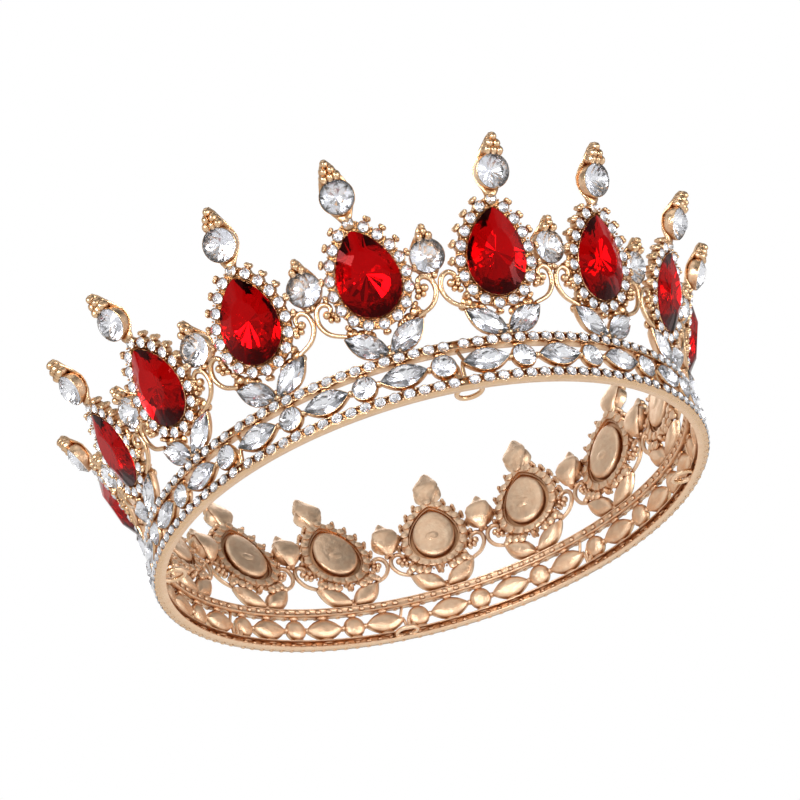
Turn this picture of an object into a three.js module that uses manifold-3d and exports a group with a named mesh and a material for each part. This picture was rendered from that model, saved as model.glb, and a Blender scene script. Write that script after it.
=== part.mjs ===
// A full-round beauty-pageant crown: eight gold cast segments joined into one ring, sixteen
// teardrop motifs with red pear stones, clear crest and between stones, and four comb loops.
// Millimetres and radians, +Z up, origin at the centre of the base plane.
import * as THREE from "three";
import { ConvexGeometry } from "three/addons/geometries/ConvexGeometry.js";
import { mergeVertices } from "three/addons/utils/BufferGeometryUtils.js";
import Module from "manifold-3d";

const wasm = await Module();
wasm.setup();
const { degToRad } = THREE.MathUtils;

// Driving dimensions: the band
const BASE_RADIUS = 65;
const BAND_THICKNESS = 2.5;
const BAND_HEIGHT = 10.8;
const LOWER_RAIL_TOP = 2.2;
const UPPER_RAIL_BOTTOM = 8.7;
const SEGMENTS = 8;
const SEGMENT_ANGLE = (2 * Math.PI) / SEGMENTS;
const JOINT_GAP = 0.3;
const RAIL_STEPS = 7;
const SEATS = 6;
const FIRST_NAVETTE = degToRad(5.2);
const SEAT_PITCH = degToRad(7.4);

// The flared wall: radius = start + flare * t + curl * t^2, with t the height above the band
const WALL_RADIUS = 64.5;
const WALL_FLARE = 0.158;
const WALL_CURL = 0.0064;

// Motifs: two to a segment, side by side and parallel above the radius where the lean starts
const MOTIF_ANGLE = SEGMENT_ANGLE / 4;
const LEAN_RADIUS = 67.6;
const PEAR_HEIGHT = 27.95;
const HALO_STONES = 18;
const HALO_OFFSET = 1.45;
const PLATE_BACK = -1.1;
const PLATE_FRONT = 0.8;
const PAD_BACK = -2.2;
const PAD_LAP = 0.3;

// Stones: half sizes, and depths along the wall's outward normal
const PEAR = { width: 13, length: 18.4, centre: 0.3, girdle: 0.6, crown: 1.5, pavilion: 1.2 };
const ROUND = { radius: 3.4, crown: 1.2, pavilion: 2.4 };
const CREST = { along: 17.25, girdle: 0.8 };
const BETWEEN = { height: 29.3, seamHeight: 29.1, girdle: 0.1 };
const JOINT_CUP_SHIFT = 0.75;
const STONE_GAP = 0.3;
const CUP = { radius: 4.2, wall: 0.4, sides: 10 };
const NAVETTE = { length: 10.4, width: 5.6 };
const FOOT_HEIGHT = 11.5;
const LEAF = { across: 4.2, along: -14.45, tilt: degToRad(34), front: 0.5 };

// The pear's outline: how full its waist is, and the share that brings it to full width
const PEAR_WAIST = 0.45;
const PEAR_WAIST_PEAK = 0.873;

// Finials: bead radii from the lowest up, the step between beads, and the place above a cup
const CREST_FINIAL = { radii: [2.2, 1.6, 1.0], pitch: 1.5 };
const BETWEEN_FINIAL = { radii: [1.5, 0.9], pitch: 1.4 };
const FINIAL_LIFT = 4;
const FINIAL_BACK = -0.9;
const FINIAL_FRONT = 0.7;

// Scrolls, and the ties that join them under a between stone
const SCROLL_WIRE = 0.9;
const TIE_REACH = 2.2;
const TIE_DROP = 4;
const JOINT_TIE_REACH = 0.4;

// Comb loops: one wire ring beside every second joint, flat on the base plane
const LOOP_WIRE = 1.0;
const LOOP_RADIUS = 2.7;
const LOOP_REACH = 5.2;
const LOOP_HEIGHT = 0.8;
const LOOP_SHIFT = 1.5;

const GOLD = new THREE.MeshStandardMaterial({ color: 0xe2b27c, roughness: 0.25, metalness: 1 });
const RUBY = new THREE.MeshStandardMaterial({ color: 0xb00812, roughness: 0.05, metalness: 0 });
const CLEAR = new THREE.MeshStandardMaterial({ color: 0xe8ebf2, roughness: 0.03, metalness: 0 });

// A closed three.js geometry as a manifold solid, and back again
function solidOf(geometry) {
  const source = geometry.index ? geometry.toNonIndexed() : geometry;
  const bare = new THREE.BufferGeometry();
  bare.setAttribute("position", source.getAttribute("position"));
  const merged = mergeVertices(bare, 1e-4);
  return new wasm.Manifold(
    new wasm.Mesh({
      numProp: 3,
      vertProperties: merged.attributes.position.array,
      triVerts: new Uint32Array(merged.index.array),
    }),
  );
}

function geometryOf(solid) {
  const { vertProperties, triVerts } = solid.getMesh();
  const geometry = new THREE.BufferGeometry();
  geometry.setAttribute("position", new THREE.BufferAttribute(vertProperties, 3));
  geometry.setIndex(new THREE.BufferAttribute(triVerts, 1));
  geometry.computeVertexNormals();
  return geometry;
}

const join = (solids) => solids.reduce((whole, piece) => whole.add(piece));

// The wall as a surface: slope, radius and the height reached after a slant length
const wallSlope = (z) => WALL_FLARE + 2 * WALL_CURL * (z - BAND_HEIGHT);
const wallRadius = (z) => {
  const t = z - BAND_HEIGHT;
  return WALL_RADIUS + WALL_FLARE * t + WALL_CURL * t * t;
};

function slantLength(z) {
  const q = wallSlope(z);
  return (q * Math.hypot(1, q) + Math.asinh(q)) / (4 * WALL_CURL);
}

// Height of the point that lies `along` up the wall from the pear stone's centre
function heightAt(along) {
  const target = slantLength(PEAR_HEIGHT) + along;
  let z = PEAR_HEIGHT + along;
  for (let i = 0; i < 6; i++) z -= (slantLength(z) - target) / Math.hypot(1, wallSlope(z));
  return z;
}

const alongAt = (z) => slantLength(z) - slantLength(PEAR_HEIGHT);

// Columns: the azimuth of an upright line of the design at each radius, from the segment's middle
const motifColumn = (side) => (radius) => side * MOTIF_ANGLE * Math.min(1, LEAN_RADIUS / radius);
const middleColumn = () => 0;
const jointColumn = (radius) => SEGMENT_ANGLE / 2 - JOINT_CUP_SHIFT / radius;

// A point of the flat design (across, along, out) on the wall of a segment that faces -Y
function wallPoint(column, across, along, out) {
  const z = heightAt(along);
  const slope = wallSlope(z);
  const cos = 1 / Math.hypot(1, slope);
  const radius = wallRadius(z);
  const azimuth = column(radius) + across / radius;
  const reach = radius + out * cos;
  return new THREE.Vector3(
    reach * Math.sin(azimuth),
    -reach * Math.cos(azimuth),
    z - out * slope * cos,
  );
}

// The frame of a rigid piece seated on the wall: X across, Y up the column, Z out of the wall
function seat(column, across, along, out = 0) {
  const origin = wallPoint(column, across, along, out);
  const up = wallPoint(column, across, along + 0.5, out);
  up.sub(wallPoint(column, across, along - 0.5, out)).normalize();
  const level = new THREE.Vector3(-origin.y, origin.x, 0).normalize();
  const outward = new THREE.Vector3().crossVectors(level, up).normalize();
  const right = new THREE.Vector3().crossVectors(up, outward);
  return new THREE.Matrix4().makeBasis(right, up, outward).setPosition(origin);
}

// Outline of a pear cut, tip up, grown outwards by an offset
class PearCurve extends THREE.Curve {
  constructor(grow = 0) {
    super();
    this.halfWidth = PEAR.width / 2 + grow;
    this.halfLength = PEAR.length / 2 + grow * 1.3;
    this.centre = PEAR.centre + grow * 0.14;
  }
  getPoint(t, target = new THREE.Vector2()) {
    const angle = 2 * Math.PI * t;
    const waist = Math.sin(angle / 2) ** PEAR_WAIST / PEAR_WAIST_PEAK;
    return target.set(
      -this.halfWidth * Math.sin(angle) * waist,
      this.centre + this.halfLength * Math.cos(angle),
    );
  }
}

// Points round a closed curve, equally spaced and without the repeated last one
const ringPoints = (curve, count) => curve.getSpacedPoints(count).slice(0, count);

function prism(points, back, front) {
  const shape = new THREE.Shape(points);
  const depth = front - back;
  return new THREE.ExtrudeGeometry(shape, { depth, bevelEnabled: false }).translate(0, 0, back);
}

function navettePoints(length, width, steps = 4) {
  const edge = (i, sign) => {
    const x = (sign * length * (1 - (2 * i) / steps)) / 2;
    return new THREE.Vector2(x, (-sign * width * (1 - ((2 * x) / length) ** 2)) / 2);
  };
  const lower = Array.from({ length: steps }, (_, i) => edge(i, -1));
  const upper = Array.from({ length: steps }, (_, i) => edge(i, 1));
  return [...upper, ...lower].reverse();
}

const blockPoints = (left, bottom, right, top) => [
  new THREE.Vector2(left, bottom),
  new THREE.Vector2(right, bottom),
  new THREE.Vector2(right, top),
  new THREE.Vector2(left, top),
];

// A faceted stone: girdle at z = 0, an eight-sided table in front and a point behind
function gem(girdle, tableShare, crown, pavilion) {
  const points = girdle.map((p) => new THREE.Vector3(p.x, p.y, 0));
  girdle.forEach((p, i) => {
    if (i % 2 === 0) points.push(new THREE.Vector3(p.x * tableShare, p.y * tableShare, crown));
  });
  points.push(new THREE.Vector3(0, 0, -pavilion));
  return new ConvexGeometry(points);
}

const circlePoints = (radius, count) =>
  Array.from({ length: count }, (_, i) => {
    const angle = (2 * Math.PI * i) / count;
    return new THREE.Vector2(radius * Math.cos(angle), radius * Math.sin(angle));
  });

// Band: an arc of strip, pierced above and below each place where two of its stone seats meet.
// Navette and round seats stand in turn between the two rails.
function bandSolid() {
  const half = SEGMENT_ANGLE / 2 - JOINT_GAP / 2 / BASE_RADIUS;
  const strip = new THREE.Shape();
  strip.absarc(0, 0, BASE_RADIUS, -half - Math.PI / 2, half - Math.PI / 2, false);
  strip.absarc(0, 0, BASE_RADIUS - BAND_THICKNESS, half - Math.PI / 2, -half - Math.PI / 2, true);
  const options = { depth: BAND_HEIGHT, bevelEnabled: false, curveSegments: RAIL_STEPS };
  const middle = (LOWER_RAIL_TOP + UPPER_RAIL_BOTTOM) / 2;
  const rail = UPPER_RAIL_BOTTOM - middle;
  const gaps = [];
  for (let pair = 0; pair < SEATS - 1; pair++) {
    const facing = pair % 2 ? -1 : 1;
    const azimuth = FIRST_NAVETTE - SEGMENT_ANGLE / 2 + SEAT_PITCH * (pair + (pair % 2));
    const outward = new THREE.Matrix4()
      .makeRotationZ(azimuth + (facing * SEAT_PITCH) / 2)
      .multiply(new THREE.Matrix4().makeTranslation(0, -BASE_RADIUS, middle))
      .multiply(new THREE.Matrix4().makeRotationX(Math.PI / 2));
    for (const side of [-1, 1]) {
      const outline = [
        [-2.8, rail],
        [0.8, 0.5],
        [2.8, rail],
      ].map(([x, z]) => new THREE.Vector2(facing * x, side * z));
      const gap = prism(outline, -2 * BAND_THICKNESS, BAND_THICKNESS);
      gaps.push(solidOf(gap.applyMatrix4(outward)));
    }
  }
  return solidOf(new THREE.ExtrudeGeometry(strip, options)).subtract(join(gaps));
}

// A tapered cup, open in front, for a round stone whose girdle is at `out`
function roundCup(place, out) {
  const front = out + 0.25;
  const floor = out - ROUND.pavilion - STONE_GAP;
  const profile = [
    [0, floor - 0.6],
    [CUP.radius - 1.6, floor - 0.6],
    [CUP.radius, front],
    [CUP.radius - CUP.wall, front],
    [CUP.radius - 2.8, floor],
    [0, floor],
  ].map(([radius, z]) => new THREE.Vector2(radius, z));
  const turned = new THREE.LatheGeometry(profile, CUP.sides).rotateX(Math.PI / 2);
  return solidOf(turned.applyMatrix4(place));
}

// A finial of beads stacked to a point, narrow between one bead and the next
function finial(place, { radii, pitch }) {
  const right = [new THREE.Vector2(radii[0], -pitch / 2)];
  radii.forEach((radius, i) => {
    right.push(new THREE.Vector2(radius, i * pitch));
    const next = radii[i + 1] ?? 0;
    right.push(new THREE.Vector2(next * 0.8, (i + 0.6) * pitch));
  });
  const left = right.slice(0, -1).map((p) => new THREE.Vector2(-p.x, p.y));
  const outline = [...right, ...left.toReversed()];
  return solidOf(prism(outline, FINIAL_BACK, FINIAL_FRONT).applyMatrix4(place));
}

// A scroll of wire from its curl beside the halo, over the top and down to the leaf's tip
function scroll(column, side) {
  const route = [
    [9.6, 22.0],
    [9.9, 24.0],
    [11.2, 25.1],
    [12.2, 23.9],
    [12.2, 21.2],
    [10.8, 18.9],
    [7.6, 17.3],
  ];
  const points = route.map(([across, z]) => wallPoint(column, side * across, alongAt(z), 0));
  const extrudePath = new THREE.CatmullRomCurve3(points);
  const half = SCROLL_WIRE / 2;
  const section = new THREE.Shape(blockPoints(-half, -half, half, half));
  return solidOf(new THREE.ExtrudeGeometry(section, { steps: 6, extrudePath }));
}

// Halo outline: a corner outside each small stone, short below the crest cup and long where
// it meets the scrolls' curls and the leaves
function haloOutline() {
  const reach = { 0: 1.25, 6: 3.2, 12: 3.2, 8: 2.2, 10: 2.2 };
  return Array.from({ length: HALO_STONES }, (_, i) => {
    const lobe = new PearCurve(HALO_OFFSET + (reach[i] ?? 1.5));
    return ringPoints(lobe, HALO_STONES)[i];
  });
}

// One teardrop motif: halo plate, pear cup, crest cup with its finial, leaves and scrolls
function motif(side) {
  const column = motifColumn(side);
  const place = seat(column, 0, 0);
  const floor = PEAR.girdle - PEAR.pavilion - STONE_GAP;
  const [halo, pad, pocket] = [
    prism(haloOutline(), PLATE_BACK, PLATE_FRONT),
    prism(ringPoints(new PearCurve(1), 14), PAD_BACK, PLATE_BACK + PAD_LAP),
    prism(ringPoints(new PearCurve(STONE_GAP), 14), floor, PLATE_FRONT + 1),
  ].map((piece) => solidOf(piece.applyMatrix4(place)));
  const foot = prism(blockPoints(-1.6, -1.6, 1.6, 1.6), -1.6, 0.4);
  const neck = prism(blockPoints(-1.5, -2, 1.5, 1), -1.9, 0.2);
  const leaf = prism(navettePoints(NAVETTE.length, NAVETTE.width), PLATE_BACK, LEAF.front);
  const leaves = [-1, 1].map((hand) => {
    const turn = new THREE.Matrix4().makeRotationZ(hand * LEAF.tilt);
    return leaf.clone().applyMatrix4(seat(column, hand * LEAF.across, LEAF.along).multiply(turn));
  });
  return [
    halo.add(pad).subtract(pocket),
    solidOf(foot.applyMatrix4(seat(column, 0, alongAt(FOOT_HEIGHT)))),
    solidOf(neck.applyMatrix4(seat(column, 0, CREST.along - ROUND.radius - 1.2))),
    ...leaves.map(solidOf),
    roundCup(seat(column, 0, CREST.along), CREST.girdle),
    finial(seat(column, 0, CREST.along + FINIAL_LIFT), CREST_FINIAL),
    scroll(column, -1),
    scroll(column, 1),
  ];
}

// A between stone's cup with its finial, and the tie that joins it to the scroll below
function between(column, height, tieRight) {
  const along = alongAt(height);
  const tie = prism(blockPoints(-TIE_REACH, -1.2, tieRight, 0.25), PLATE_BACK, 0.3);
  return [
    roundCup(seat(column, 0, along), BETWEEN.girdle),
    solidOf(tie.applyMatrix4(seat(column, 0, along - TIE_DROP))),
    finial(seat(column, 0, along + FINIAL_LIFT), BETWEEN_FINIAL),
  ];
}

const STONES = [
  { name: "pear_stone", column: motifColumn(-1), along: 0, out: PEAR.girdle, cut: "pear" },
  { name: "pear_stone", column: motifColumn(1), along: 0, out: PEAR.girdle, cut: "pear" },
  { name: "crest_stone", column: motifColumn(-1), along: CREST.along, out: CREST.girdle },
  { name: "crest_stone", column: motifColumn(1), along: CREST.along, out: CREST.girdle },
  {
    name: "between_stone",
    column: middleColumn,
    along: alongAt(BETWEEN.height),
    out: BETWEEN.girdle,
  },
  {
    name: "between_stone",
    column: jointColumn,
    along: alongAt(BETWEEN.seamHeight),
    out: BETWEEN.girdle,
  },
];

function castSegment() {
  const metal = join([
    bandSolid(),
    ...motif(-1),
    ...motif(1),
    ...between(middleColumn, BETWEEN.height, TIE_REACH),
    ...between(jointColumn, BETWEEN.seamHeight, JOINT_TIE_REACH),
  ]);
  return geometryOf(metal);
}

function combLoop() {
  const wall = BASE_RADIUS - BAND_THICKNESS - JOINT_GAP;
  const centre = -(wall - LOOP_REACH + LOOP_WIRE / 2 + LOOP_RADIUS);
  const open = Math.acos((wall + centre) / LOOP_RADIUS);
  class LoopCurve extends THREE.Curve {
    getPoint(t, target = new THREE.Vector3()) {
      const angle = -Math.PI / 2 + open + t * (2 * Math.PI - 2 * open);
      return target.set(
        LOOP_RADIUS * Math.cos(angle),
        centre + LOOP_RADIUS * Math.sin(angle),
        LOOP_HEIGHT,
      );
    }
  }
  const section = new THREE.Shape(circlePoints(LOOP_WIRE / 2, 6));
  return new THREE.ExtrudeGeometry(section, { steps: 16, extrudePath: new LoopCurve() });
}

const stoneCuts = {
  pear: gem(ringPoints(new PearCurve(), 16), 0.5, PEAR.crown, PEAR.pavilion),
  round: gem(circlePoints(ROUND.radius, 16), 0.5, ROUND.crown, ROUND.pavilion),
};

const crown = new THREE.Group();
const segmentGeometry = castSegment();
const loopGeometry = combLoop();
const counts = {};

function nextName(name) {
  counts[name] = (counts[name] ?? 0) + 1;
  return `${name}_${String(counts[name]).padStart(2, "0")}`;
}

function named(geometry, material, name) {
  const mesh = new THREE.Mesh(geometry, material);
  mesh.name = nextName(name);
  return mesh;
}

for (let i = 0; i < SEGMENTS; i++) {
  const segment = new THREE.Group();
  segment.rotation.z = (i + 0.5) * SEGMENT_ANGLE;
  segment.add(named(segmentGeometry, GOLD, "cast_segment"));
  for (const { name, column, along, out, cut = "round" } of STONES) {
    const stone = named(stoneCuts[cut], cut === "pear" ? RUBY : CLEAR, name);
    stone.applyMatrix4(seat(column, 0, along, out));
    segment.add(stone);
  }
  crown.add(segment);
}

for (let i = 0; i < SEGMENTS; i += 2) {
  const loop = named(loopGeometry, GOLD, "comb_loop");
  loop.rotation.z = i * SEGMENT_ANGLE + LOOP_SHIFT / BASE_RADIUS;
  crown.add(loop);
}

export default crown;
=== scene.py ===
"""A full-round pageant crown: eight cast gold segments with red pear stones and clear stones.

The CAD frame gives the layout. Each CAD node is replaced by a finer piece of the same size in
the same place. Geometry is worked out in millimetres on one segment that faces -Y. Its pieces
are scaled to metres and then copied round the crown.

Words used below: a seat is a place with its own directions (right, up, outward); a column is
the centre line of a motif up the flared wall; across and along are distances on that wall,
with along 0 at the pear stones' centres; a level is (growth of an outline, height outward).
"""

import math
import random

import bmesh
import bpy
import numpy as np
from mathutils import Matrix, Vector


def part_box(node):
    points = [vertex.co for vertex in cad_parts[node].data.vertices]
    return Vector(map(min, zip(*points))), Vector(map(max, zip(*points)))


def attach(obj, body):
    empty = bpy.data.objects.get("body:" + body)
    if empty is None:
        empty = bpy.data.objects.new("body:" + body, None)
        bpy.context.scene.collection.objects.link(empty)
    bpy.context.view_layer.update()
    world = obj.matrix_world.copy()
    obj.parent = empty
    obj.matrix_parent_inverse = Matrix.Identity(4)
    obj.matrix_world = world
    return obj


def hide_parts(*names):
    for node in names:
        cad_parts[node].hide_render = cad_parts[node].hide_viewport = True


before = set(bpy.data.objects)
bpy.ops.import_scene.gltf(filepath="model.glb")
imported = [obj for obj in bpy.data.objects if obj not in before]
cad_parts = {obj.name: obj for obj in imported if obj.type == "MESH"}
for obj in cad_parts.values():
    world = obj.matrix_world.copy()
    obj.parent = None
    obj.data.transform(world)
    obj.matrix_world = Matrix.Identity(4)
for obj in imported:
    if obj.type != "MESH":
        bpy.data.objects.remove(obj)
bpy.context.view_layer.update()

MM = 0.001
SEGMENTS = 8
SEGMENT_ANGLE = 2 * math.pi / SEGMENTS

# The band
BASE_RADIUS = 65.0
BAND_HEIGHT = 10.8
BAND_MIDDLE = 5.45
RAILS = ((0.0, 2.2, 1.35), (8.7, 10.8, 2.28))  # (bottom, top, depth of the web between)
RAIL_DEPTH = 2.5
RAIL_LIP = 0.34
RAIL_WALL = 0.36
RAIL_GROOVE = 0.6
RAIL_STONES = 16
RAIL_STONE = 1.14
FIRST_RAIL_STONE = math.radians(1.9)
FIRST_SEAT = math.radians(5.2)
SEAT_PITCH = math.radians(7.4)
SEATS = 6
ROUND_SEAT = 2.5
NAVETTE_SEAT = (9.9, 5.1)
TIE_ANGLES = (math.radians(4.72), math.radians(7.4 - 4.72))  # after a navette, after a round

# The flared wall: radius = start + flare * t + curl * t^2, with t the height above the band
WALL_RADIUS = 64.5
WALL_FLARE = 0.158
WALL_CURL = 0.0064

# Motifs and stones
MOTIF_ANGLE = SEGMENT_ANGLE / 4
LEAN_RADIUS = 67.6
PEAR_HEIGHT = 27.95
PEAR_WIDTH, PEAR_LENGTH, PEAR_CENTRE = 13.0, 18.4, 0.3
PEAR_WAIST, PEAR_WAIST_PEAK = 0.45, 0.873
PEAR_GIRDLE = 0.65
PAD_WIDTH, PAD_LENGTH, PAD_CENTRE = 11.3, 15.8, -0.3
HALO_STONES = 18
HALO_OFFSET = 1.45
HALO_STONE = 1.15
ROUND_RADIUS = 3.6
CREST_ALONG = 17.25
CREST_GIRDLE = 0.8
BETWEEN_HEIGHT = 29.3
SEAM_BETWEEN_HEIGHT = 29.1
BETWEEN_GIRDLE = 0.1
JOINT_CUP_SHIFT = 0.75
LEAF_STONE = (10.0, 5.0)
LEAF_ACROSS, LEAF_ALONG, LEAF_TILT = 4.2, -14.45, math.radians(34)
FOOT_HEIGHT = 11.4
SCROLL_RADIUS = 0.48
END_GROWTH = 1.3  # how much faster a pointed outline grows at its ends than at its sides

# Comb loops
LOOP_RADIUS = 2.7
LOOP_CENTRE = 60.3
LOOP_OPENING = math.radians(56)
COMB_LOOPS = 4

# Camera, as seen from the azimuth and elevation of the product view
CAMERA_AZIMUTH = math.radians(-12.43)
CAMERA_ELEVATION = math.radians(-23.76)
CAMERA_DISTANCE = 0.47975
CAMERA_ROLL = math.radians(-16.59)
LOOK_AT = Vector((-0.0022, -0.0120, 0.0277))
LENS_MM = 94.36

# Studio, in metres and watts: (name, position, size, power), all aimed at the origin
LIGHTS = (
    ("key", (-0.45, -0.6, 0.12), 0.35, 3.6),
    ("fill", (0.6, -0.45, -0.1), 0.4, 2.2),
    ("rim", (0.1, 0.6, 0.5), 0.4, 0.8),
    ("top", (-0.05, -0.3, 0.8), 0.5, 0.5),
    ("glint", (-0.25, -0.7, -0.12), 0.07, 0.9),
    ("sparkle", (0.3, -0.72, -0.05), 0.05, 0.5),
)
FLOOR_Z = -0.8  # far below, because the camera looks up at the crown from under its base
FLOOR_HALF = 30.0

chance = random.Random(7)


# ---------------------------------------------------------------- the wall and its columns

def wall_slope(z):
    return WALL_FLARE + 2 * WALL_CURL * (z - BAND_HEIGHT)


def wall_radius(z):
    t = z - BAND_HEIGHT
    return WALL_RADIUS + WALL_FLARE * t + WALL_CURL * t * t


def slant_length(z):
    """Length up the wall's curve, from where its slope would be zero."""
    q = wall_slope(z)
    return (q * math.hypot(1, q) + math.asinh(q)) / (4 * WALL_CURL)


def height_at(along):
    """Height of the point that lies `along` up the wall from the pear stone's centre."""
    target = slant_length(PEAR_HEIGHT) + along
    z = PEAR_HEIGHT + along
    for _ in range(6):
        z -= (slant_length(z) - target) / math.hypot(1, wall_slope(z))
    return z


def along_at(z):
    return slant_length(z) - slant_length(PEAR_HEIGHT)


def motif_column(side):
    """Azimuth of a motif's centre line at each radius: parallel above the lean radius."""
    return lambda radius: side * MOTIF_ANGLE * min(1, LEAN_RADIUS / radius)


def middle_column(_radius):
    return 0.0


def joint_column(radius):
    return SEGMENT_ANGLE / 2 - JOINT_CUP_SHIFT / radius


def wall_point(column, across, along, out=0.0):
    """A point on the wall, moved out along its normal."""
    z = height_at(along)
    slope = wall_slope(z)
    cos = 1 / math.hypot(1, slope)
    radius = wall_radius(z)
    azimuth = column(radius) + across / radius
    reach = radius + out * cos
    return np.array((reach * math.sin(azimuth), -reach * math.cos(azimuth), z - out * slope * cos))


class Seat:
    """A place on the crown with its own directions: right, up and outward."""

    def __init__(self, origin, right, up, outward):
        self.origin, self.right, self.up, self.outward = origin, right, up, outward

    def at(self, x, y, z=0.0):
        """The point, or the points, x to the right, y up and z outward from the origin."""
        x, y, z = (np.asarray(value, float)[..., None] for value in (x, y, z))
        return self.origin + x * self.right + y * self.up + z * self.outward

    def moved(self, x, y, z=0.0):
        return Seat(self.at(x, y, z), self.right, self.up, self.outward)

    def turned(self, angle):
        cos, sin = math.cos(angle), math.sin(angle)
        right = cos * self.right + sin * self.up
        return Seat(self.origin, right, cos * self.up - sin * self.right, self.outward)


def unit(vector):
    return vector / np.linalg.norm(vector)


def wall_seat(column, across, along, out=0.0):
    origin = wall_point(column, across, along, out)
    above, below = (wall_point(column, across, along + step, out) for step in (0.5, -0.5))
    up = unit(above - below)
    outward = unit(np.cross(unit(np.array((-origin[1], origin[0], 0.0))), up))
    return Seat(origin, np.cross(up, outward), up, outward)


def band_seat(azimuth, z, out=0.0):
    sin, cos = math.sin(azimuth), math.cos(azimuth)
    outward = np.array((sin, -cos, 0.0))
    origin = (BASE_RADIUS + out) * outward + np.array((0.0, 0.0, z))
    return Seat(origin, np.array((cos, sin, 0.0)), np.array((0.0, 0.0, 1.0)), outward)


# ---------------------------------------------------------------- outlines, grown by an offset

def turn(count, phase=0.0):
    return phase + np.arange(count) * (2 * math.pi / count)


def circle(radius, grow=0.0, count=16, phase=0.0):
    angle = turn(count, phase)
    return np.stack(((radius + grow) * np.cos(angle), (radius + grow) * np.sin(angle)), 1)


def navette(length, width, grow=0.0, count=24):
    angle = turn(count)
    x = (length / 2 + END_GROWTH * grow) * np.cos(angle)
    y = (width / 2 + grow) * np.sin(angle) * np.abs(np.sin(angle))
    return np.stack((x, y), 1)


def pear_waist(angle):
    """How much a pear narrows towards its tip, at angle 0."""
    return np.sin(angle / 2) ** PEAR_WAIST / PEAR_WAIST_PEAK


def pear(grow=0.0, count=48):
    angle = turn(count)
    x = -(PEAR_WIDTH / 2 + grow) * np.sin(angle) * pear_waist(angle)
    half_length = PEAR_LENGTH / 2 + END_GROWTH * grow
    y = PEAR_CENTRE + 0.14 * grow + half_length * np.cos(angle)
    return np.stack((x, y), 1)


def pad(grow=0.0, count=40):
    """The pad on a motif's back: a pear with a blunt tip."""
    angle = turn(count)
    waist = 0.55 + 0.45 * pear_waist(angle)
    x = -(PAD_WIDTH / 2 + grow) * np.sin(angle) * waist
    y = PAD_CENTRE + (PAD_LENGTH / 2 + END_GROWTH * grow) * np.cos(angle)
    return np.stack((x, y), 1)


def halo_places():
    """Centres of the halo stones and the outward direction at each, starting at the tip."""
    dense = pear(HALO_OFFSET, 1440)
    loop = np.vstack((dense, dense[:1]))
    length = np.concatenate(([0], np.cumsum(np.linalg.norm(np.diff(loop, axis=0), axis=1))))

    def point_at(distance):
        goal = distance % length[-1]
        return np.array([np.interp(goal, length, loop[:, axis]) for axis in (0, 1)])

    for i in range(HALO_STONES):
        goal = length[-1] * i / HALO_STONES
        tangent = unit(point_at(goal + 0.6) - point_at(goal - 0.6))
        yield point_at(goal), np.array((tangent[1], -tangent[0])) if i else np.array((0.0, 1.0))


# ---------------------------------------------------------------- mesh building

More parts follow.
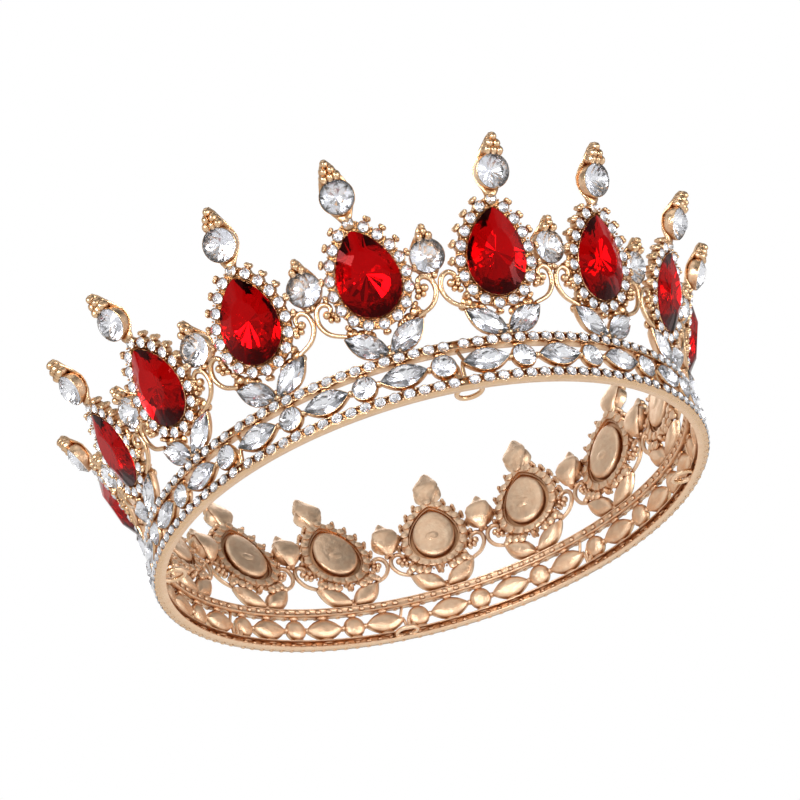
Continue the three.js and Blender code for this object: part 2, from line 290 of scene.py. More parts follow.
class Piece:
    """Closed surfaces gathered in millimetres, each face with a material number."""

    def __init__(self):
        self.points, self.faces, self.paints, self.count = [], [], [], 0

    def add(self, points, faces, paint=0):
        self.points.append(np.asarray(points, float))
        self.faces += [[self.count + v for v in face] for face in faces]
        self.paints += paint if isinstance(paint, list) else [paint] * len(faces)
        self.count += len(points)

    def loft(self, rings, closed=False, paint=0):
        """A skin over rings of equal count, with flat ends unless it closes on itself."""
        rings = np.asarray(rings, float)
        rows, count = rings.shape[:2]
        near = np.arange(count)
        far = (near + 1) % count
        faces = []
        for row in range(rows if closed else rows - 1):
            a, b = row * count, (row + 1) % rows * count
            faces += np.stack((a + near, a + far, b + far, b + near), 1).tolist()
        if not closed:
            faces += [near[::-1].tolist(), (near + (rows - 1) * count).tolist()]
        self.add(rings.reshape(-1, 3), faces, paint)

    def cup(self, seat, outline, levels, closed=False):
        """A dish or ring over one outline: levels are (growth of the outline, height)."""
        rings = []
        for grow, height in levels:
            flat = outline(grow)
            rings.append(seat.at(flat[:, 0], flat[:, 1], height))
        self.loft(rings, closed)

    def bead(self, seat, radius, depth=None, tall=None, sides=8):
        """A round or stretched bead at a seat's origin."""
        depth, tall = depth or radius, tall or radius
        latitudes = np.radians((-78, -45, -15, 15, 45, 78))
        flat = circle(1.0, 0.0, sides)
        rings = [
            seat.at(
                flat[:, 0] * radius * math.cos(lat),
                flat[:, 1] * tall * math.cos(lat),
                depth * math.sin(lat),
            )
            for lat in latitudes
        ]
        self.loft(rings)

    def tube(self, path, radii, sides=10):
        """A round wire along a path of points, with a radius for each point."""
        path = np.asarray(path, float)
        radii = np.broadcast_to(radii, len(path))
        tangents = np.gradient(path, axis=0)
        tangents /= np.linalg.norm(tangents, axis=1)[:, None]
        normal = unit(np.cross(tangents[0], (0.31, 0.52, 0.79)))
        flat = circle(1.0, 0.0, sides)
        rings = []
        for point, tangent, radius in zip(path, tangents, radii):
            normal = unit(normal - tangent * (normal @ tangent))
            side = np.cross(tangent, normal)
            rings.append(point + radius * (flat[:, :1] * normal + flat[:, 1:] * side))
        self.loft(rings)

    def rod(self, start, end, radius, sides=8):
        """A short round-ended rod."""
        step = 0.6 * radius * unit(end - start)
        path = (start - step, start, start + step, end - step, end, end + step)
        self.tube(path, np.array((0.45, 0.86, 1, 1, 0.86, 0.45)) * radius, sides)

    def gem(self, seat, outline, facets, table, crown, pavilion):
        """A faceted stone with its girdle at the seat: glass in front, foil behind."""
        girdle = outline(2 * facets)
        centre = girdle.mean(0)
        rim = 0.06 * crown  # half the girdle's thickness
        main = np.arange(facets)
        even, odd, after = 2 * main, 2 * main + 1, (2 * main + 2) % (2 * facets)

        def ring(chosen, share, height):
            flat = centre + (girdle[chosen] - centre) * share
            return seat.at(flat[:, 0], flat[:, 1], height)

        every = np.arange(2 * facets)
        points = np.vstack((
            ring(every, 1, rim),
            ring(every, 1, -rim),
            ring(even, table, crown),
            ring(odd, (1 + 1.15 * table) / 2.15, 0.56 * crown),
            ring(odd, 0.42, -0.66 * pavilion),
            seat.at(centre[0], centre[1], -pavilion)[None],
        ))
        low, top, star = 2 * facets, 4 * facets, 5 * facets
        deep, tip = 6 * facets, 7 * facets
        glass = [list(top + main)]
        foil = []
        for k in main:
            following, before = (k + 1) % facets, (k - 1) % facets
            glass += [
                [top + k, star + k, top + following],
                [top + k, star + before, even[k], star + k],
                [star + k, even[k], odd[k]],
                [star + k, odd[k], after[k]],
                [even[k], low + even[k], low + odd[k], odd[k]],
                [odd[k], low + odd[k], low + after[k], after[k]],
            ]
            foil += [
                [tip, deep + k, low + even[k], deep + before],
                [deep + k, low + odd[k], low + even[k]],
                [deep + k, low + after[k], low + odd[k]],
            ]
        self.add(points, glass + foil, [0] * len(glass) + [1] * len(foil))

    def make(self, name, materials, smooth_angle=None):
        """The Blender mesh in metres, with outward faces."""
        mesh = bpy.data.meshes.new(name)
        mesh.from_pydata((np.vstack(self.points) * MM).tolist(), [], self.faces)
        for material in materials:
            mesh.materials.append(material)
        mesh.polygons.foreach_set("material_index", self.paints)
        work = bmesh.new()
        work.from_mesh(mesh)
        bmesh.ops.recalc_face_normals(work, faces=work.faces)
        work.to_mesh(mesh)
        work.free()
        if smooth_angle:
            mesh.shade_smooth()
            mesh.set_sharp_from_angle(angle=smooth_angle)
        return mesh


def smooth_path(points, per_span=6):
    """A Catmull-Rom curve through points."""
    points = np.asarray(points, float)
    padded = np.vstack((2 * points[0] - points[1], points, 2 * points[-1] - points[-2]))
    share = np.linspace(0, 1, per_span, endpoint=False)[:, None]
    run = []
    for a, b, c, d in zip(padded, padded[1:], padded[2:], padded[3:]):
        run.append(0.5 * (2 * b + (c - a) * share + (2 * a - 5 * b + 4 * c - d) * share**2
                          + (3 * b - a - 3 * c + d) * share**3))
    return np.vstack((*run, points[-1:]))


# ---------------------------------------------------------------- the cast segment

def rail_azimuths():
    pitch = (SEGMENT_ANGLE - 2 * FIRST_RAIL_STONE) / (RAIL_STONES - 1)
    return [-SEGMENT_ANGLE / 2 + FIRST_RAIL_STONE + pitch * i for i in range(RAIL_STONES)]


def rail_profile(low, high, web):
    """A rail's section, (outward, height): a groove in front and a channel behind."""
    lip, wall, groove, back = RAIL_LIP, RAIL_WALL, RAIL_GROOVE, RAIL_DEPTH
    return [
        (-0.15, low), (0, low + 0.12), (0, low + lip), (-groove, low + lip + 0.06),
        (-groove, high - lip - 0.06), (0, high - lip), (0, high - 0.12), (-0.15, high),
        (-back + 0.15, high), (-back, high - 0.12), (-back, high - wall),
        (-back + 0.15, high - wall - 0.06), (-web, high - wall - 0.14),
        (-web, low + wall + 0.14), (-back + 0.15, low + wall + 0.06), (-back, low + wall),
        (-back, low + 0.12), (-back + 0.15, low),
    ]


RAIL_CUP_LEVELS = [
    (0.06, -0.8), (0.13, -0.1), (0.1, 0.0), (0.03, 0.02), (-0.03, -0.05), (-1.0, -0.4),
]


def rails(metal):
    """The two rails with their cups, the bumps in their channels and the grains on their lips."""
    half = SEGMENT_ANGLE / 2
    azimuths = rail_azimuths()
    for low, high, web in RAILS:
        profile = rail_profile(low, high, web)
        reach = BASE_RADIUS + np.array([p[0] for p in profile])
        level = np.array([p[1] for p in profile])
        rings = [
            np.stack((reach * math.sin(a), -reach * math.cos(a), level), 1)
            for a in np.linspace(-half, half, 41)
        ]
        metal.loft(rings)
        middle = (low + high) / 2
        pitch = azimuths[1] - azimuths[0]
        for azimuth in azimuths:
            seat = band_seat(azimuth, middle)
            metal.cup(seat, lambda g: circle(RAIL_STONE, g), RAIL_CUP_LEVELS)
            metal.bead(band_seat(azimuth, middle, -web - 0.05), 0.78, 0.52, 0.56, 12)
        joint = band_seat(half - 0.39 / BASE_RADIUS, middle, -0.35)
        metal.bead(joint, 0.5, 0.4, 0.62, 10)
        for azimuth in [a + pitch / 2 for a in azimuths[:-1]]:
            for lift in (-0.72, 0.72):
                seat = band_seat(azimuth + chance.uniform(-1, 1) * 0.001, middle + lift)
                metal.bead(seat, 0.27, 0.27)


SEAT_LEVELS = [
    (-1.9, -2.05), (-1.2, -1.98), (-0.3, -1.7), (0.25, -1.2), (0.34, -0.6), (0.22, -0.1),
    (0.12, 0.07), (0.05, 0.09), (-0.08, -0.02), (-2.3, -1.65),
]


def band_seats():
    """The seats between the rails: (seat, is it a navette)."""
    for i in range(SEATS):
        azimuth = -SEGMENT_ANGLE / 2 + FIRST_SEAT + SEAT_PITCH * i
        yield band_seat(azimuth, BAND_MIDDLE, -0.1), i % 2 == 0


def lattice(metal):
    """Cups of the stones between the rails, and the small struts that hold them."""
    rail_low = RAILS[0][1] - BAND_MIDDLE - 0.2
    rail_high = RAILS[1][0] - BAND_MIDDLE + 0.2
    for seat, is_navette in band_seats():
        if is_navette:
            metal.cup(seat, lambda g: navette(*NAVETTE_SEAT, g), SEAT_LEVELS)
        else:
            metal.cup(seat, lambda g: circle(ROUND_SEAT, g, 20), SEAT_LEVELS)
        metal.bead(seat.moved(0, rail_low + 0.2, -1.1), 1.9, 0.75, 0.95, 14)
        metal.bead(seat.moved(0, rail_high - 0.2, -1.1), 1.35, 0.7, 0.85, 14)
    for i in range(SEATS - 1):
        azimuth = -SEGMENT_ANGLE / 2 + FIRST_SEAT + SEAT_PITCH * i + TIE_ANGLES[i % 2]
        metal.bead(band_seat(azimuth, BAND_MIDDLE, -0.7), 0.8, 0.95, 0.75)
    # At the joints: a leaning post from the first navette's tip down to the rail, and the
    # web that ties it to the last round seat
    end = SEGMENT_ANGLE / 2
    post = band_seat(-end, BAND_MIDDLE, -0.7)
    route = [post.at(1.0, 0.5), post.at(0.6, -0.9), post.at(0.45, rail_low)]
    metal.tube(smooth_path(route, 4), 0.42)
    metal.rod(post.at(1.5, 0.7, -0.4), post.at(0.5, rail_high, -0.4), 0.4)
    web = band_seat(end, BAND_MIDDLE, -1.2)
    route = [web.at(-1.3, 1.0), web.at(-0.35, -0.5), web.at(-0.4, rail_low)]
    metal.tube(smooth_path(route, 4), 0.5)
    metal.rod(web.at(-1.6, -1.4), web.at(-0.6, rail_low + 0.2), 0.7)


def beads_in_rows(metal, seat, rows):
    """A finial's beads, longer from front to back: rows of (height, radius, places across)."""
    for height, radius, places in rows:
        for x in places:
            metal.bead(seat.moved(x, height, -0.1), radius, radius + 0.5, radius * 1.12, 10)


def spine(metal, seat, stations):
    """A cup's smooth back: ellipses up the column, (height, half width, place, half depth)."""
    angle = turn(16)
    rings = [
        seat.at(half * np.cos(angle), height, middle + depth * np.sin(angle))
        for height, half, middle, depth in stations
    ]
    metal.loft(rings)


ROUND_LEVELS = [
    (-2.6, -3.15), (-1.3, -3.05), (-0.4, -2.65), (0.05, -1.9), (0.17, -1.0), (0.17, -0.15),
    (0.07, -0.04), (-0.1, -0.2), (-0.4, -0.8), (-1.9, -2.1), (-3.4, -2.85),
]


def round_cup(metal, seat, girdle):
    levels = [(grow, height + girdle) for grow, height in ROUND_LEVELS]
    metal.cup(seat, lambda g: circle(ROUND_RADIUS, g, 28), levels)


HALO_PLATE_LEVELS = [
    (0.45, -1.5), (1.6, -1.55), (2.0, -1.3), (2.1, -0.8), (1.9, -0.5), (0.5, -0.5),
]
BEZEL_LEVELS = [
    (0.02, 0.42), (0.05, 0.5), (0.12, 0.52), (0.24, 0.3), (0.45, -1.0), (0.0, -1.0),
]
DISH_LEVELS = [
    (-5.5, -1.85), (0.25, -0.1), (0.35, -0.1), (0.35, -0.42), (-0.6, -0.55),
    (-3.0, -1.45), (-5.5, -2.2),
]
PAD_LEVELS = [
    (-4.6, -2.05), (-0.4, -0.62), (0.0, -0.62), (0.0, -1.7), (-0.25, -2.1), (-0.9, -2.35),
    (-2.5, -2.52), (-4.2, -2.58), (-5.2, -2.6),
]
HALO_CUP_LEVELS = [
    (-0.7, -1.95), (-0.15, -1.75), (0.14, -0.9), (0.2, 0.1), (0.15, 0.37),
    (0.05, 0.43), (-0.04, 0.3), (-1.0, -0.45),
]


def halo_claw(metal, seat, point, out):
    """A split prong outside a halo stone, with the arm that holds it."""
    x, y = point + out * (1.78 + chance.uniform(-0.08, 0.12))
    metal.rod(seat.at(x, y, -1.5), seat.at(x, y, 0.2), 0.64)
    for step, lift in ((-0.4, -0.25), (0.36, 0.0)):
        tooth = seat.moved(x + step * out[1], y - step * out[0], lift)
        metal.bead(tooth, 0.56, 0.95, 0.6, 10)
    metal.rod(seat.at(*(point + out * 1.2), -1.1), seat.at(x, y, -0.6), 0.5)


def halo(metal, seat):
    """The ring of small cups round the pear stone, its bezel, its dish and its padded back."""
    metal.cup(seat, pear, HALO_PLATE_LEVELS, closed=True)
    metal.cup(seat, pear, BEZEL_LEVELS, closed=True)
    metal.cup(seat, pear, DISH_LEVELS)
    metal.cup(seat, pad, PAD_LEVELS)
    metal.bead(seat.moved(0.4, -1.8, -2.45), 1.9, 0.42, 1.5, 14)
    places = list(halo_places())
    for i, (point, out) in enumerate(places):
        metal.cup(seat.moved(*point), lambda g: circle(HALO_STONE, g), HALO_CUP_LEVELS)
        if i:  # the first stone, at the tip, has the crest's neck in place of a claw
            halo_claw(metal, seat, point, out)
        beside, beside_out = places[(i + 1) % HALO_STONES]
        for grow in (-0.62, 0.62):
            x, y = (point + beside) / 2 + unit(out + beside_out) * grow
            metal.bead(seat.moved(x, y, 0.3), 0.27, 0.34)


SCROLL_ROUTE = (  # (across, z)
    (10.3, 22.95), (9.45, 23.5), (9.55, 24.6), (10.8, 25.2), (12.1, 24.5),
    (12.62, 22.9), (12.3, 21.0), (10.7, 18.9), (7.6, 17.4),
)
SCROLL_BEADS = ((9.0, 22.5, 0.75), (9.8, 21.7, 0.7), (8.6, 21.4, 0.75))  # (across, z, radius)


def scrolls(metal, column):
    """Wire scrolls: a curl beside the halo, over the top and down to the leaf's tip."""
    for side in (-1, 1):
        run = [wall_point(column, side * across, along_at(z), 0.1) for across, z in SCROLL_ROUTE]
        path = smooth_path(run, 5)
        swell = 1 + 0.25 * np.sin(np.linspace(0, math.pi, len(path)))
        metal.tube(path, SCROLL_RADIUS * swell)
        metal.bead(wall_seat(column, side * 10.35, along_at(22.9), 0.15), 0.95, 0.9, None, 12)
        for across, z, radius in SCROLL_BEADS:
            metal.bead(wall_seat(column, side * across, along_at(z), 0.1), radius, 1.0)


def leaf_seats(column):
    for hand in (-1, 1):
        yield wall_seat(column, hand * LEAF_ACROSS, LEAF_ALONG).turned(hand * LEAF_TILT)


LEAF_LEVELS = [
    (-1.9, -1.95), (-1.2, -1.85), (-0.5, -1.5), (0.1, -0.8), (0.2, -0.1),
    (0.15, 0.14), (0.06, 0.2), (-0.08, 0.08), (-2.2, -1.5),
]
LEAF_BEADS = (  # (across, along, radius), between the leaves and the halo
    (3.5, -12.1, 1.25), (5.2, -11.3, 1.35), (6.9, -10.3, 1.35), (7.9, -11.2, 1.0),
)


def leaves(metal, column):
    """The two leaf cups, the beads above them and the foot on the upper rail."""
    for seat in leaf_seats(column):
        metal.cup(seat, lambda g: navette(*LEAF_STONE, g), LEAF_LEVELS)
    centre = wall_seat(column, 0, 0)
    for hand in (-1, 1):
        for x, y, radius in LEAF_BEADS:
            metal.bead(centre.moved(hand * x, y, -0.9), radius, 0.75, None, 12)
    foot = wall_seat(column, 0, along_at(FOOT_HEIGHT), -0.3)
    metal.bead(foot, 1.1, 0.9, 0.8, 10)
    for x, y in ((-1.9, 0.2), (1.9, 0.2), (0.0, 1.3)):
        metal.bead(foot.moved(x, y), 0.62, 0.7)


def motif(metal, side):
    """One motif: halo, crest cup with its finial, leaves and scrolls."""
    column = motif_column(side)
    seat = wall_seat(column, 0, 0)
    crest = wall_seat(column, 0, CREST_ALONG)
    halo(metal, seat)
    round_cup(metal, crest, CREST_GIRDLE)
    spine(metal, crest, [
        (-6.0, 1.0, -1.5, 0.4), (-5.0, 1.3, -0.9, 0.9), (-3.9, 1.9, -1.0, 0.9),
        (-2.6, 2.6, -1.9, 0.7), (-1.0, 3.3, -2.25, 0.5), (0.6, 3.5, -2.35, 0.55),
        (2.4, 3.1, -2.0, 0.65), (3.9, 2.6, -1.6, 0.7), (5.4, 1.95, -1.2, 0.8),
        (7.0, 1.3, -0.95, 0.85), (8.2, 0.5, -0.7, 0.55),
    ])
    beads_in_rows(metal, crest, [
        (4.35, 1.1, (-1.3, 0.1, 1.4)), (5.75, 1.08, (-0.8, 0.75)), (7.2, 1.0, (-0.05,)),
    ])
    leaves(metal, column)
    scrolls(metal, column)


def between(metal, column, height):
    """A between stone's cup with its finial, and the tie down to the scrolls."""
    seat = wall_seat(column, 0, along_at(height))
    round_cup(metal, seat, BETWEEN_GIRDLE)
    spine(metal, seat.moved(0, 0, -0.7), [
        (-4.9, 0.9, -0.5, 0.5), (-3.8, 1.8, -1.1, 0.8), (-2.6, 2.6, -1.9, 0.7),
        (-1.0, 3.2, -2.25, 0.5), (0.6, 3.4, -2.35, 0.55), (2.4, 2.9, -2.0, 0.7),
        (3.7, 2.2, -1.1, 0.8), (4.9, 1.5, -0.5, 0.7), (6.0, 1.0, -0.3, 0.7), (6.9, 0.4, -0.2, 0.4),
    ])
    beads_in_rows(metal, seat, [
        (4.1, 0.95, (-1.0, 1.0)), (5.05, 0.9, (0.1,)), (6.0, 0.8, (0.0,)),
    ])
    for x in (-0.6, 0.6):
        metal.bead(seat.moved(x, -4.35, -0.1), 0.75, 0.9)


def cast_segment():
    metal = Piece()
    rails(metal)
    lattice(metal)
    for side in (-1, 1):
        motif(metal, side)
    between(metal, middle_column, BETWEEN_HEIGHT)
    between(metal, joint_column, SEAM_BETWEEN_HEIGHT)
    return metal


# ---------------------------------------------------------------- stones

def spun_round(radius):
    """A round stone's outline, its facets turned by chance."""
    phase = chance.uniform(0, math.pi)
    return lambda count: circle(radius, 0.0, count, phase)


def pear_stone(side):
    stone = Piece()
    stone.gem(wall_seat(motif_column(side), 0, 0, PEAR_GIRDLE),
              lambda count: pear(0.12, count), 12, 0.5, 1.7, 1.35)
    return stone


def round_stone(column, along, out):
    stone = Piece()
    stone.gem(wall_seat(column, 0, along, out), spun_round(ROUND_RADIUS), 8, 0.52, 1.25, 2.4)
    return stone


def halo_stones():
    stones = Piece()
    for side in (-1, 1):
        seat = wall_seat(motif_column(side), 0, 0)
        for point, _out in halo_places():
            stones.gem(seat.moved(*point, 0.45), spun_round(HALO_STONE), 7, 0.5, 0.5, 0.72)
    return stones


def rail_stones():
    stones = Piece()
    for low, high, _web in RAILS:
        for azimuth in rail_azimuths():
            seat = band_seat(azimuth, (low + high) / 2, 0.08)
            stones.gem(seat, spun_round(RAIL_STONE), 7, 0.5, 0.45, 0.4)
    return stones


def band_stones():
    stones = Piece()
    for seat, is_navette in band_seats():
        place = seat.moved(0, 0, 0.2)
        if is_navette:
            stones.gem(place, lambda count: navette(*NAVETTE_SEAT, 0.0, count), 8, 0.42, 1.1, 1.6)
        else:
            stones.gem(place, spun_round(ROUND_SEAT), 8, 0.5, 0.95, 1.7)
    return stones


def leaf_stones():
    stones = Piece()
    for side in (-1, 1):
        for seat in leaf_seats(motif_column(side)):
            stones.gem(seat.moved(0, 0, 0.3),
                       lambda count: navette(*LEAF_STONE, 0.0, count), 8, 0.42, 1.15, 1.5)
    return stones


def comb_loop(node):
    """A wire ring flat on the base plane, its ends in the band, placed by its CAD node."""
    low, high = (np.array(corner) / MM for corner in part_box(node))
    wire = (high[2] - low[2]) / 2
    centre = (low + high) / 2
    inward = -unit(np.array((centre[0], centre[1], 0.0)))
    across = np.array((-inward[1], inward[0], 0.0))
    middle = -inward * (LOOP_CENTRE + wire) + np.array((0, 0, centre[2]))
    half_turn = math.pi - LOOP_OPENING / 2
    angle = np.linspace(-half_turn, half_turn, 40)[:, None]
    path = middle + LOOP_RADIUS * (np.cos(angle) * inward + np.sin(angle) * across)
    loop = Piece()
    loop.tube(path, 1.1 * wire, 14)
    for end in (path[0], path[-1]):
        loop.bead(Seat(end, inward, np.array((0, 0, 1.0)), across), wire * 1.35, None, None, 12)
    return loop


# ---------------------------------------------------------------- materials

def set_inputs(node, values):
    for name, value in values.items():
        node.inputs[name].default_value = value


class Nodes:
    """A material's node tree, with a short way to add and join nodes."""

    def __init__(self, name):
        self.material = bpy.data.materials.new(name)
        self.material.use_nodes = True
        self.tree = self.material.node_tree
        self.shader = self.tree.nodes["Principled BSDF"]

    def add(self, kind, **settings):
        node = self.tree.nodes.new("ShaderNode" + kind)
        for key, value in settings.items():
            setattr(node, key, value)
        return node

    def link(self, source, target):
        self.tree.links.new(source, target)

    def noise(self, scale, detail=4.0, roughness=0.55):
        place = self.add("TexCoord")
        noise = self.add("TexNoise")
        set_inputs(noise, {"Scale": scale, "Detail": detail, "Roughness": roughness})
        self.link(place.outputs["Object"], noise.inputs["Vector"])
        return noise.outputs["Fac"]

    def map_range(self, value, low, high, to_low, to_high):
        node = self.add("MapRange")
        set_inputs(node, {"From Min": low, "From Max": high, "To Min": to_low, "To Max": to_high})
        self.link(value, node.inputs["Value"])
        return node.outputs["Result"]

    def mix_colour(self, factor, first, second):
        node = self.add("Mix", data_type="RGBA")
        self.link(factor, node.inputs[0])
        for socket, colour in ((node.inputs[6], first), (node.inputs[7], second)):
            if isinstance(colour, tuple):
                socket.default_value = (*colour, 1)
            else:
                self.link(colour, socket)
        return node.outputs[2]

    def mix_value(self, factor, first, second):
        node = self.add("Mix")
        self.link(factor, node.inputs[0])
        for socket, value in ((node.inputs[2], first), (node.inputs[3], second)):
            if isinstance(value, float):
                socket.default_value = value
            else:
                self.link(value, socket)
        return node.outputs[0]

    def bump(self, height, distance, strength=1.0):
        node = self.add("Bump")
        set_inputs(node, {"Distance": distance, "Strength": strength})
        self.link(height, node.inputs["Height"])
        self.link(node.outputs["Normal"], self.shader.inputs["Normal"])

    def openness(self, reach):
        """0 deep in a recess, 1 on open surface."""
        node = self.add("AmbientOcclusion", samples=8, only_local=True)
        node.inputs["Distance"].default_value = reach
        return self.map_range(node.outputs["AO"], 0.4, 1.0, 0.0, 1.0)

    def inward_share(self):
        """1 where the surface faces the crown's axis, 0 where it faces out."""
        geometry = self.add("NewGeometry")
        flat = self.add("VectorMath", operation="MULTIPLY")
        flat.inputs[1].default_value = (1, 1, 0)
        away = self.add("VectorMath", operation="NORMALIZE")
        dot = self.add("VectorMath", operation="DOT_PRODUCT")
        self.link(geometry.outputs["Position"], flat.inputs[0])
        self.link(flat.outputs[0], away.inputs[0])
        self.link(away.outputs[0], dot.inputs[0])
        self.link(geometry.outputs["Normal"], dot.inputs[1])
        return self.map_range(dot.outputs["Value"], 0.1, -0.35, 0.0, 1.0)


def gold_material():
    """Rose-gold plating: polished outside, sand-cast and matte inside, with painted shade
    darkening its recesses.
    """
    nodes = Nodes("gold")
    shader = nodes.shader
    shader.inputs["Metallic"].default_value = 1.0
    inward = nodes.inward_share()
    tone = nodes.noise(160, 3)
    polished = nodes.mix_colour(tone, (0.68, 0.43, 0.23), (0.83, 0.59, 0.39))
    matte = nodes.mix_colour(nodes.noise(520, 4), (0.82, 0.50, 0.30), (1.0, 0.79, 0.58))
    plating = nodes.mix_colour(inward, polished, matte)
    # Painted shade: a dark brown mixed into the base colour wherever ambient occlusion finds a
    # recess
    painted_recess_shade = nodes.mix_colour(inward, (0.40, 0.19, 0.07), (0.48, 0.22, 0.09))
    colour = nodes.mix_colour(nodes.openness(2 * MM), painted_recess_shade, plating)
    nodes.link(colour, shader.inputs["Base Color"])
    wear = nodes.noise(900, 5)
    bright = nodes.map_range(wear, 0.3, 0.7, 0.12, 0.26)
    dull = nodes.map_range(wear, 0.3, 0.7, 0.34, 0.5)
    nodes.link(nodes.mix_value(inward, bright, dull), shader.inputs["Roughness"])
    grain = nodes.map_range(nodes.noise(1400, 4), 0.0, 1.0, 0.0, 0.5)
    lumps = nodes.noise(480, 4)
    nodes.bump(nodes.mix_value(inward, grain, lumps), 0.32 * MM, 0.8)
    return nodes.material


def glass_material(name, dark, light, ior, reflection):
    """Clear or coloured glass, with a tint for its reflections."""
    nodes = Nodes(name)
    shader = nodes.shader
    set_inputs(shader, {
        "Transmission Weight": 1.0, "IOR": ior, "Specular Tint": (*reflection, 1),
    })
    nodes.link(nodes.mix_colour(nodes.noise(240, 2), dark, light), shader.inputs["Base Color"])
    scuffs = nodes.map_range(nodes.noise(700, 2), 0.3, 0.8, 0.0, 0.02)
    nodes.link(scuffs, shader.inputs["Roughness"])
    return nodes.material


def foil_material(name, dark, light, smooth, rough):
    """The mirror foil behind a stone, seen through its glass."""
    nodes = Nodes(name)
    shader = nodes.shader
    shader.inputs["Metallic"].default_value = 1.0
    nodes.link(nodes.mix_colour(nodes.noise(500, 3), dark, light), shader.inputs["Base Color"])
    sheen = nodes.map_range(nodes.noise(900, 3), 0.3, 0.8, smooth, rough)
    nodes.link(sheen, shader.inputs["Roughness"])
    return nodes.material


GOLD = gold_material()
CLEAR = glass_material("clear_glass", (0.96, 0.97, 0.99), (1.0, 1.0, 1.0), 1.52, (1, 1, 1))
SILVER_FOIL = foil_material("silver_foil", (0.88, 0.89, 0.94), (0.97, 0.97, 0.99), 0.1, 0.24)
RUBY = glass_material(
    "red_glass", (0.44, 0.0008, 0.0025), (0.60, 0.0015, 0.005), 1.45, (1, 0.12, 0.12)
)
RED_FOIL = foil_material("red_foil", (0.86, 0.40, 0.36), (0.96, 0.55, 0.50), 0.03, 0.12)


# ---------------------------------------------------------------- pieces of the crown

def add_object(name, data):
    made = bpy.data.objects.new(name, data)
    bpy.context.scene.collection.objects.link(made)
    return made


def add_piece(name, mesh, node=None):
    """A piece of the crown, which may stand for a CAD node."""
    piece = add_object(name, mesh)
    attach(piece, "root")
    if node:
        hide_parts(node)


def place_piece(mesh, name, index, node=None):
    """One copy of a segment's mesh, turned to its place round the crown."""
    copy = mesh.copy()
    copy.transform(Matrix.Rotation((index + 0.5) * SEGMENT_ANGLE, 4, "Z"))
    add_piece(name, copy, node)


def build_crown():
    """The metal and small stones are one design repeated; the large stones are each cut anew."""
    metal = cast_segment().make("segment_metal", [GOLD], math.radians(42))
    clear = [CLEAR, SILVER_FOIL]
    ruby = [RUBY, RED_FOIL]
    small = {
        name: build().make(name, clear)
        for name, build in (
            ("halo_stones", halo_stones), ("rail_stones", rail_stones),
            ("band_stones", band_stones), ("leaf_stones", leaf_stones),
        )
    }
    betweens = ((middle_column, BETWEEN_HEIGHT), (joint_column, SEAM_BETWEEN_HEIGHT))
    for index in range(SEGMENTS):
        number = f"{index + 1:02d}"
        place_piece(metal, f"segment_metal_{number}", index, f"cast_segment_{number}")
        for name, mesh in small.items():
            place_piece(mesh, f"{name}_{number}", index)
        for pair, (side, (column, height)) in enumerate(zip((-1, 1), betweens)):
            number = f"{2 * index + pair + 1:02d}"
            large = pear_stone(side).make("pear_gem", ruby)
            place_piece(large, f"pear_gem_{number}", index, f"pear_stone_{number}")
            for kind, stone in (
                ("crest", round_stone(motif_column(side), CREST_ALONG, CREST_GIRDLE)),
                ("between", round_stone(column, along_at(height), BETWEEN_GIRDLE)),
            ):
                place_piece(stone.make(f"{kind}_gem", clear), f"{kind}_gem_{number}", index,
                            f"{kind}_stone_{number}")
    for count in range(1, COMB_LOOPS + 1):
        node = f"comb_loop_{count:02d}"
        wire = comb_loop(node).make(node, [GOLD], 0.8)
        add_piece(f"loop_wire_{count:02d}", wire, node)


# ---------------------------------------------------------------- studio

def add_camera():
    camera = add_object("camera", bpy.data.cameras.new("camera"))
    flat = math.cos(CAMERA_ELEVATION) * CAMERA_DISTANCE
    camera.location = (
        math.sin(CAMERA_AZIMUTH) * flat,
        -math.cos(CAMERA_AZIMUTH) * flat,
        math.sin(CAMERA_ELEVATION) * CAMERA_DISTANCE,
    )
    look = (LOOK_AT - camera.location).to_track_quat("-Z", "Y")
    camera.rotation_euler = (look.to_matrix() @ Matrix.Rotation(CAMERA_ROLL, 3, "Z")).to_euler()
    camera.data.lens = LENS_MM
    camera.data.sensor_width = 36
    camera.data.clip_start = 0.01
    bpy.context.scene.camera = camera


def add_light(name, position, size, power):
    """A square white panel that faces the origin."""
    data = bpy.data.lights.new(name, "AREA")
    data.shape = "SQUARE"
    data.size = size
    data.energy = power
    light = add_object(name, data)
    light.location = position
    light.rotation_euler = (-Vector(position)).to_track_quat("-Z", "Y").to_euler()


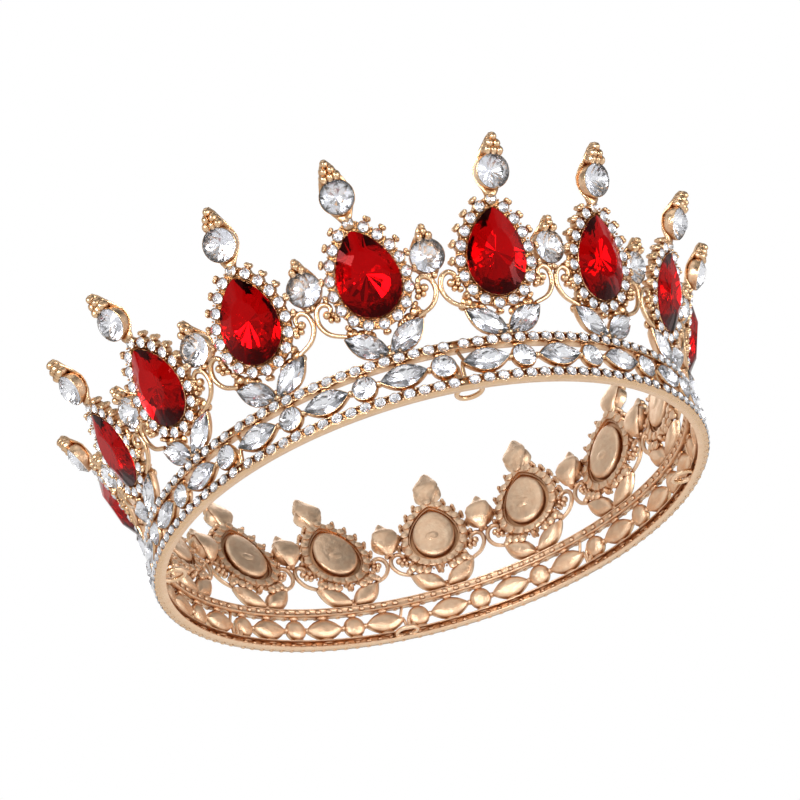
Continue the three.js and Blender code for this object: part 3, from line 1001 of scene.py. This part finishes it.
def add_floor():
    """A pale floor that glows a little, so it stays even as far as the eye can see."""
    mesh = bpy.data.meshes.new("floor")
    half = FLOOR_HALF
    corners = [(-half, -half, 0), (half, -half, 0), (half, half, 0), (-half, half, 0)]
    mesh.from_pydata(corners, [], [(0, 1, 2, 3)])
    nodes = Nodes("pale_floor")
    pale = nodes.mix_colour(nodes.noise(3, 2), (0.19, 0.19, 0.185), (0.21, 0.21, 0.205))
    nodes.link(pale, nodes.shader.inputs["Base Color"])
    set_inputs(nodes.shader, {
        "Roughness": 0.8, "Emission Color": (1, 0.995, 0.985, 1), "Emission Strength": 0.74,
    })
    mesh.materials.append(nodes.material)
    floor = add_object("floor", mesh)
    floor.location = (0, 0, FLOOR_Z)


def add_world():
    """Plain white to the camera. As light, it is stronger from +Y, behind the crown, than from
    -Y, and broken by soft dark patches, which the metal and the stones mirror."""
    world = bpy.data.worlds.new("studio")
    world.use_nodes = True
    tree = world.node_tree

    def add(kind, values=None, **settings):
        node = tree.nodes.new("ShaderNode" + kind)
        for key, value in settings.items():
            setattr(node, key, value)
        set_inputs(node, values or {})
        return node

    def link(source, target):
        tree.links.new(source, target)

    direction = add("TexCoord").outputs["Generated"]
    split = add("SeparateXYZ")
    fade = add("MapRange", {"From Min": -0.6, "From Max": 0.6, "To Min": 0.42, "To Max": 0.72})
    clouds = add("TexNoise", {"Scale": 2.0, "Detail": 1.0})
    cards = add("MapRange", {"From Min": 0.44, "From Max": 0.56, "To Min": 0.3, "To Max": 1.3})
    strength = add("Math", operation="MULTIPLY")
    lit = tree.nodes["Background"]
    set_inputs(lit, {"Color": (1, 0.985, 0.965, 1)})
    plain = add("Background", {"Color": (1, 1, 1, 1)})
    choose = add("MixShader")

    link(direction, split.inputs[0])
    link(split.outputs["Y"], fade.inputs["Value"])
    link(direction, clouds.inputs["Vector"])
    link(clouds.outputs["Fac"], cards.inputs["Value"])
    link(fade.outputs["Result"], strength.inputs[0])
    link(cards.outputs["Result"], strength.inputs[1])
    link(strength.outputs[0], lit.inputs["Strength"])
    link(add("LightPath").outputs["Is Camera Ray"], choose.inputs[0])
    link(lit.outputs[0], choose.inputs[1])
    link(plain.outputs[0], choose.inputs[2])
    link(choose.outputs[0], tree.nodes["World Output"].inputs["Surface"])
    bpy.context.scene.world = world


add_camera()
build_crown()
add_floor()
add_world()
for light in LIGHTS:
    add_light(*light)
bpy.context.scene.view_settings.view_transform = "Standard"
